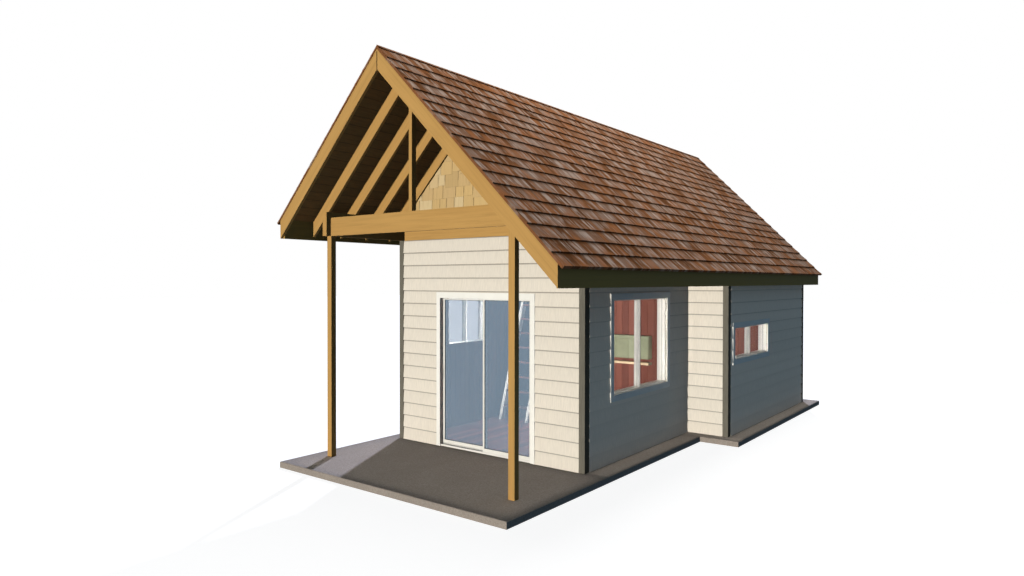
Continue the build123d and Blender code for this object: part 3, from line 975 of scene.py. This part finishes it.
class BOATHOUSE_OT_glazing(Maker, bpy.types.Operator):
    """Seals the door glass with rubber, and finishes frames, panels and glass"""

    bl_idname = "boathouse.glazing"
    bl_label = "Glazing"

    def make(self, sizes, colours):
        white = times(colours.trim, 0.98)
        paint(trim_finish("frame_paint", white, gloss=0.34), "door_frame", "fixed_panel", "sliding_panel")
        paint(trim_finish("sash_paint", white, gloss=0.34, sash=True), "window_frames")
        tinted = glass_finish("door_glass", colours.door_glass, roughness=0.03, left=0.29, right=0.29)
        clear = glass_finish("window_glass", colours.window_glass, roughness=0.02, left=0.21, right=0.06)
        paint(tinted, "fixed_glass", "sliding_glass")
        paint(clear, "window_glass")
        rubber, half = rubber_finish(), 0.008
        for node, body in (("fixed_glass", "building"), ("sliding_glass", "sliding_door")):
            low, high = (list(corner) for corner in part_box(node))
            middle = (low[1] + high[1]) / 2
            low[1], high[1] = middle - half, middle + half
            seal = ring(node.replace("glass", "glass_seal"), low, high, 1, sizes.seal_width)
            dress(seal, rubber, body)


class BOATHOUSE_OT_lining(Maker, bpy.types.Operator):
    """Lines the rooms and the partition with upright stained boards"""

    bl_idname = "boathouse.lining"
    bl_label = "Lining Boards"

    def make(self, sizes, colours):
        stain = colours.lining
        along_x = lining_finish("lining_across", stain, "X", sizes.lining_width)
        along_y = lining_finish("lining_along", stain, "Y", sizes.lining_width)
        plate = PARTITION_HIGH[2]
        wing_plate = RIDGE - UNDER_RAFTERS - WING_INNER - PLATE_GAP
        front, before, behind, step, rear, left, right, wing = (
            self.boards(name, sizes, *wall) for name, *wall in (
                ("front_lining", "+y", FRONT_INNER, LEFT_INNER, RIGHT_INNER, RIDGE),
                ("partition_front_lining", "-y", PARTITION_LOW[1], LEFT_INNER, RIGHT_INNER, plate),
                ("partition_rear_lining", "+y", PARTITION_HIGH[1], LEFT_INNER, RIGHT_INNER, plate),
                ("wing_front_lining", "+y", WING_FRONT_INNER, RIGHT_INNER, WING_INNER, wing_plate),
                ("rear_lining", "-y", REAR_INNER, LEFT_INNER, WING_INNER, RIDGE),
                ("left_lining", "+x", LEFT_INNER, FRONT_INNER, REAR_INNER, plate),
                ("right_lining", "-x", RIGHT_INNER, FRONT_INNER, PARTITION_LOW[1], plate),
                ("wing_lining", "-x", WING_INNER, WING_FRONT_INNER, REAR_INNER, wing_plate)))
        cut_out(front, (DOOR_OPENING[0], 0.0, 0.0), (DOOR_OPENING[1], WALL_REACH, DOOR_OPENING[2]))
        for piece in (before, behind):
            cut_out(piece, *INNER_DOORWAY)
        for piece, key in ((left, "left"), (right, "front_room"), (wing, "wing")):
            window_cut(piece, key, 0.0, WALL_REACH)
        for piece in (front, rear):
            under_roof(piece, UNDER_RAFTERS + ROOF_GAP)
        for piece in (front, before, behind, step, rear):
            dress(piece, along_x)
        for piece in (left, right, wing):
            dress(piece, along_y)
        paint(along_x, "partition_wall")

    def boards(self, name, sizes, facing, face, start, end, top):
        """One wall's lining: a board with eased edges, copied along the wall and trimmed at its ends."""
        axis, sign = FACINGS[facing]
        width, gap, ease = sizes.lining_width, 0.001, 0.004
        room = face + sign * sizes.lining_thickness
        first = math.floor(start / width) * width
        piece = block(name, *along(
            facing, face, first, first + width - gap, FLOOR_TOP, top, sizes.lining_thickness))

        def upright_edge(edge):
            """Tells the two upright edges on the room's side."""
            low, high = (vertex.co for vertex in edge.verts)
            return abs(low.z - high.z) > 0.5 and abs(low[axis] - room) < NEAR

        soften(piece, upright_edge, ease)
        run = Vector((0.0, 0.0, 0.0))
        run[1 - axis] = 1.0
        repeat(piece, math.ceil((end - first) / width), run * width)
        slice_off(piece, run * end, run)
        slice_off(piece, run * start, -run)
        return piece


class BOATHOUSE_OT_floor(Maker, bpy.types.Operator):
    """Lays the rooms' floor in planks that run to the rear"""

    bl_idname = "boathouse.floor"
    bl_label = "Floor Planks"

    def make(self, sizes, colours):
        low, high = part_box("plank_floor")
        gap, wall_gap = 0.002, 0.006
        fields = []
        for name, left, right, front, lengths, seed in (
            ("floor_planks", low[0], -low[0], low[1], 3, 31),
            ("wing_planks", -low[0], high[0], WING_FRONT_INNER + wall_gap, 2, 32),
        ):
            count = round((right - left) / sizes.plank_width)
            width = (right - left) / count
            run = (high[1] - front) / lengths
            piece = block(name, (left, front, low[2]), (left + width - gap, front + run - gap, high[2]))
            soften(piece, lambda e: all(v.co.z > high[2] - NEAR for v in e.verts), 0.0015)
            repeat(piece, lengths, (0, run, 0))
            repeat(piece, count, (width, 0, 0))
            scatter(piece, count, lengths, across=1, down=2, seed=seed, spread=0.55, shift=0.0, gap=gap)
            fields.append(piece)
        planks = join(fields)
        dress(planks, plank_finish(colours.floor))
        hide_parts("plank_floor")


class BOATHOUSE_OT_furniture(Maker, bpy.types.Operator):
    """Finishes the ladder, the wall cabinet with its two doors, and the shelf"""

    bl_idname = "boathouse.furniture"
    bl_label = "Ladder and Cabinet"

    def make(self, sizes, colours):
        sage = cabinet_finish(colours.cabinet)
        paint(trim_finish("ladder_paint", times(colours.trim, 0.80), gloss=0.5), "ladder_stringers")
        paint(wood_finish("tread_wood", colours.tread, CROSSWAYS, bands=0.05), "ladder_treads")
        paint(wood_finish("shelf_wood", colours.shelf, CROSSWAYS), "cabinet_shelf")
        paint(sage, "wall_cabinet")
        low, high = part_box("wall_cabinet")
        gap, rail, lip, stile, sunk = 0.004, 0.055, 0.014, 0.045, 0.006
        half = (high[0] - low[0]) / 2
        door = block(
            "cabinet_doors",
            (low[0] + gap, low[1] - lip, low[2] + gap),
            (low[0] + half - gap / 2, low[1], high[2] - rail))
        pick(door, "FACE", lambda f: f.normal.y < -0.9)
        bpy.ops.mesh.inset(thickness=stile)
        bpy.ops.transform.translate(value=(0, sunk, 0))
        close()
        repeat(door, 2, (half - gap / 2, 0, 0))
        dress(door, sage)


class BOATHOUSE_OT_slab(Maker, bpy.types.Operator):
    """Finishes the slab in trowelled concrete"""

    bl_idname = "boathouse.slab"
    bl_label = "Concrete Slab"

    def make(self, sizes, colours):
        paint(concrete_finish(colours.concrete), "concrete_slab")


class BOATHOUSE_OT_stage(bpy.types.Operator):
    """Sets the pale floor, the soft lights and the camera"""

    bl_idname = "boathouse.stage"
    bl_label = "Stage"

    def execute(self, context):
        stage = context.scene.boathouse_stage
        self.floor()
        self.sky(context.scene)
        self.outer_lights(stage)
        self.room_lights(stage)
        self.slab_lights(stage)
        self.window_lights(stage)
        self.no_bounce()
        self.camera(context.scene, stage)
        return {"FINISHED"}

    def floor(self):
        """A wide pale floor under the slab."""
        side, drop = 160.0, 0.002
        deselect()
        bpy.ops.mesh.primitive_plane_add(size=side, location=(0, 0, -drop))
        floor = bpy.context.object
        floor.name = "stage_floor"
        floor.data.materials.append(paper_finish())
        floor.visible_diffuse = False
        floor.visible_glossy = False
        settle(floor)

    def sky(self, scene):
        """A dim cool light from all round, with a white ground to the view."""
        world = bpy.data.worlds.new("stage_sky")
        scene.world = world
        world.use_nodes = True
        tree = world.node_tree
        tree.nodes.clear()
        path = tree.nodes.new("ShaderNodeLightPath")
        fill = tree.nodes.new("ShaderNodeBackground")
        ground = tree.nodes.new("ShaderNodeBackground")
        blend = tree.nodes.new("ShaderNodeMixShader")
        output = tree.nodes.new("ShaderNodeOutputWorld")
        fill.inputs["Color"].default_value = (0.094, 0.132, 0.165, 1.0)
        ground.inputs["Color"].default_value = (1.0, 1.0, 1.0, 1.0)
        tree.links.new(path.outputs["Is Camera Ray"], blend.inputs[0])
        tree.links.new(fill.outputs[0], blend.inputs[1])
        tree.links.new(ground.outputs[0], blend.inputs[2])
        tree.links.new(blend.outputs[0], output.inputs["Surface"])
        scene.view_settings.view_transform = "Standard"

    def lamp(self, kind, name, power, place, way, colour):
        """A light that shines one way."""
        deselect()
        bpy.ops.object.light_add(type=kind, location=place)
        light = bpy.context.object
        light.name = name
        light.data.energy = power
        light.data.color = colour
        light.rotation_euler = Vector(way).to_track_quat("-Z", "Y").to_euler()
        return light

    def far_light(self, name, strength, way, width, colour):
        """A soft light from far away."""
        light = self.lamp("SUN", name, strength, (-6, 10, 10), way, colour)
        light.data.angle = math.radians(width)
        return light

    def panel(self, name, power, place, way, size, spread=180.0, colour=WARM):
        """A wide soft light that the camera doesn't see."""
        light = self.lamp("AREA", name, power, place, way, colour)
        light.data.shape = "RECTANGLE"
        light.data.size, light.data.size_y = size
        light.data.spread = math.radians(spread)
        light.visible_camera = False
        light.visible_glossy = False
        return light

    def even_panel(self, name, strength, place, way, size, spread):
        """A panel with its power given over each square metre."""
        self.panel(name, strength * size[0] * size[1], place, way, size, spread)

    def outer_lights(self, stage):
        """The lights on the gable, from behind, over the roof and in the corner beside the wing."""
        front = self.far_light(
            "front_light", stage.front_light, (-0.002, 1.0, -0.015), 0.6, (1.0, 0.955, 0.885))
        self.pass_by(
            front, "left_rafters", "right_rafters", "left_rake_boards", "right_rake_boards", "collar_beam",
            "king_post", "porch_posts", "porch_headers", "corner_boards")
        self.far_light("back_light", stage.back_light, (0.46, -0.89, -0.80), 1.5, (0.81, 0.88, 1.16))
        self.panel(
            "top_light", stage.top_light, (1.3, 2.6, 11.5), DOWN, (4.0, 9.0), colour=(1.0, 0.97, 0.93))
        fill = self.panel(
            "corner_fill", stage.corner_light, (1.87, 2.915, 1.45), TO_FRONT, (0.62, 2.7),
            colour=(0.40, 1.0, 1.70))
        self.only_on(fill, "right_siding", "window_casings")

    def room_lights(self, stage):
        """The lights in the rooms: times the room light, place, way, size, spread, the only pieces lit."""
        for name, share, place, way, size, spread, lit in (
            ("front_room_light", 3.25, (0.74, 0.20, 1.55), TO_REAR, (1.25, 2.6), 40.0, ()),
            ("rear_room_light", 7.92, (0.3, 3.16, 1.55), TO_REAR, (3.3, 2.4), 40.0, ()),
            ("ladder_light", 6.0, (-0.96, 0.25, 1.60), TO_REAR, (0.8, 2.6), 60.0,
             ("ladder_stringers", "ladder_treads")),
            ("floor_light", 3.2, (0.0, 1.5, 2.80), DOWN, (2.6, 2.4), 60.0, ("floor_planks",)),
            ("left_window_light", 4.2, (0.2, 0.9, 1.75), TO_LEFT, (0.9, 0.9), 60.0, ("window_frames",)),
            ("cabinet_light", 0.10, (1.30, 2.60, 1.30), (-0.5, 0.28, -0.05), (0.3, 0.5), 60.0,
             ("wall_cabinet", "cabinet_shelf", "cabinet_doors")),
        ):
            light = self.panel(name, stage.room_light * share, place, way, size, spread)
            if lit:
                self.only_on(light, *lit)

    def slab_lights(self, stage):
        """The lights under the roof that reach the slab: place and size."""
        for name, place, size in (
            ("porch_light", (0.05, -0.93, 2.75), (3.5, 1.75)),
            ("ledge_light", (1.715, 1.36, 0.90), (0.24, 2.65)),
            ("step_light", (1.99, 2.84, 0.90), (0.84, 0.21)),
            ("wing_ledge_light", (2.30, 4.95, 0.90), (0.18, 4.2)),
        ):
            self.even_panel(name, stage.eave_light, place, DOWN, size, spread=8.0)

    def window_lights(self, stage):
        """The lights in the reveals: share along the opening, depth from and to, strength."""
        edge, spread, short = 0.012, 7.0, 0.03
        sill_depth, sill_back, under_head, sill_strength = 0.15, 0.06, 0.014, 0.22
        for key, (facing, face, start, end, low, high) in WINDOWS.items():
            sign = FACINGS[facing][1]
            for name, share, inner, outer, strength in (
                ("mullion", edge, -0.125, -0.015, 0.41),
                ("jamb", MULLION_SHARE + edge, -0.104, 0.016, 0.76),
                ("stop", MULLION_SHARE + edge, -0.142, -0.104, 0.38),
            ):
                size = (outer - inner, high - low - short)
                place = (face + sign * (inner + outer) / 2, start + (end - start) * share, (low + high) / 2)
                strength *= stage.jamb_light
                self.even_panel(key + "_" + name + "_light", strength, place, TO_REAR, size, spread)
            size = (sill_depth, end - start - short)
            place = (face - sign * sill_back, (start + end) / 2, high - under_head)
            strength = stage.jamb_light * sill_strength
            self.even_panel(key + "_sill_light", strength, place, DOWN, size, spread)

    def pass_by(self, light, *names):
        """Lets one light shine past some solids, which then throw no shadow from it."""
        passed = bpy.data.collections.new(light.name + "_passes")
        for name in names:
            passed.objects.link(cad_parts[name])
        for link in passed.collection_objects:
            link.light_linking.link_state = "EXCLUDE"
        light.light_linking.blocker_collection = passed

    def only_on(self, light, *names):
        """Keeps one light for some pieces alone."""
        lit = bpy.data.collections.new(light.name + "_lights")
        for name in names:
            lit.objects.link(bpy.data.objects[name])
        light.light_linking.receiver_collection = lit

    def no_bounce(self):
        """Keeps the brightly lit faces from throwing their light on the shaded ones."""
        for name in (
            "front_siding", "wing_front_siding", "gable_shingles", "left_rafters", "right_rafters",
            "left_rake_boards", "front_wall_left", "front_wall_right", "front_gable_wall",
            "wing_front_wall", "frieze_board", "collar_beam", "door_casing", "door_frame", "fixed_panel",
            "sliding_panel", "fixed_glass", "sliding_glass",
        ):
            bpy.data.objects[name].visible_diffuse = False

    def camera(self, scene, stage):
        """The camera of the photograph's view."""
        deselect()
        bpy.ops.object.camera_add(location=stage.eye)
        camera = bpy.context.object
        camera.name = "view_camera"
        camera.data.sensor_width = 36.0
        camera.data.lens = stage.lens
        camera.data.clip_end = 500.0
        level = math.cos(stage.pitch)
        sight = Vector((-math.sin(stage.yaw) * level, math.cos(stage.yaw) * level, math.sin(stage.pitch)))
        turn = sight.to_track_quat("-Z", "Y").to_matrix() @ Matrix.Rotation(stage.roll, 3, "Z")
        camera.rotation_euler = turn.to_euler()
        scene.camera = camera


class BOATHOUSE_PT_sidebar(bpy.types.Panel):
    """Lists the boathouse's sizes, colours and pieces"""

    bl_idname = "BOATHOUSE_PT_sidebar"
    bl_label = "Boathouse"
    bl_space_type = "VIEW_3D"
    bl_region_type = "UI"
    bl_category = "Boathouse"

    def draw(self, context):
        for operator in OPERATORS:
            self.layout.operator(operator.bl_idname)
        for group in (
            context.scene.boathouse_sizes, context.scene.boathouse_colours, context.scene.boathouse_stage):
            box = self.layout.box()
            for name in group.__annotations__:
                box.prop(group, name)


OPERATORS = (
    BOATHOUSE_OT_siding, BOATHOUSE_OT_gable, BOATHOUSE_OT_roof, BOATHOUSE_OT_timber, BOATHOUSE_OT_trim,
    BOATHOUSE_OT_glazing, BOATHOUSE_OT_lining, BOATHOUSE_OT_floor, BOATHOUSE_OT_furniture,
    BOATHOUSE_OT_slab, BOATHOUSE_OT_stage)
CLASSES = (BoathouseSizes, BoathouseColours, BoathouseStage, *OPERATORS, BOATHOUSE_PT_sidebar)


def register():
    """Registers the classes and hangs the settings on the scene."""
    for cls in CLASSES:
        bpy.utils.register_class(cls)
    bpy.types.Scene.boathouse_sizes = PointerProperty(type=BoathouseSizes)
    bpy.types.Scene.boathouse_colours = PointerProperty(type=BoathouseColours)
    bpy.types.Scene.boathouse_stage = PointerProperty(type=BoathouseStage)


def unregister():
    """Takes the settings and the classes away."""
    del bpy.types.Scene.boathouse_stage
    del bpy.types.Scene.boathouse_colours
    del bpy.types.Scene.boathouse_sizes
    for cls in reversed(CLASSES):
        bpy.utils.unregister_class(cls)


def main():
    """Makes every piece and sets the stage."""
    register()
    bpy.ops.boathouse.siding()
    bpy.ops.boathouse.gable()
    bpy.ops.boathouse.roof()
    bpy.ops.boathouse.timber()
    bpy.ops.boathouse.trim()
    bpy.ops.boathouse.glazing()
    bpy.ops.boathouse.lining()
    bpy.ops.boathouse.floor()
    bpy.ops.boathouse.furniture()
    bpy.ops.boathouse.slab()
    bpy.ops.boathouse.stage()
    deselect()


if __name__ == "__main__":
    main()
